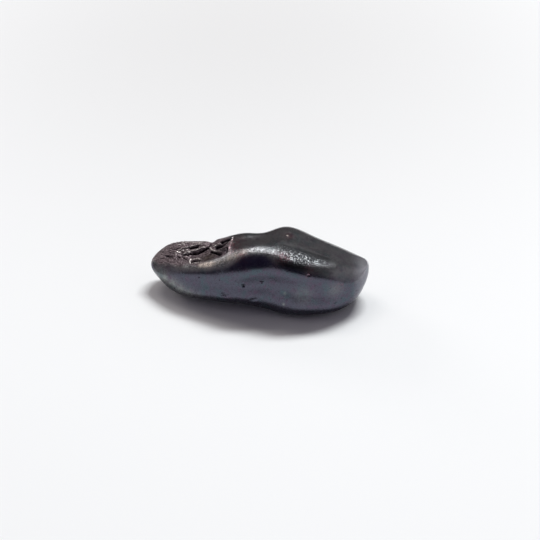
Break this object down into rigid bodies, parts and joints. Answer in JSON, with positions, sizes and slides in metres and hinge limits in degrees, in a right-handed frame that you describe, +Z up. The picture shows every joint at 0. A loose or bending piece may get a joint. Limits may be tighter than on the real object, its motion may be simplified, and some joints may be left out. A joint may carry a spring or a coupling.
{
  "type": "meteorite",
  "caption": "Small dark meteorite: a smooth, elongated lump of natural iron with a rounded crest, a rough pinched scar on one lobe and a worn flat underneath to lie on.",
  "frame": {"origin": "on the table, under the middle of the stone's bounding box", "axes": "+X along the stone from the rough, pinched lobe to the blunt end, +Y to the back, away from the crest, and +Z up, with the stone lying as it rests"},
  "size_m": [0.04, 0.0153, 0.0122],
  "materials": {
    "crust": "smooth dark gunmetal crust, satin, with a sparkling crest and a rough brownish scar"
  },
  "bodies": {
    "root": {"meteorite": "crust"}
  },
  "joints": []
}
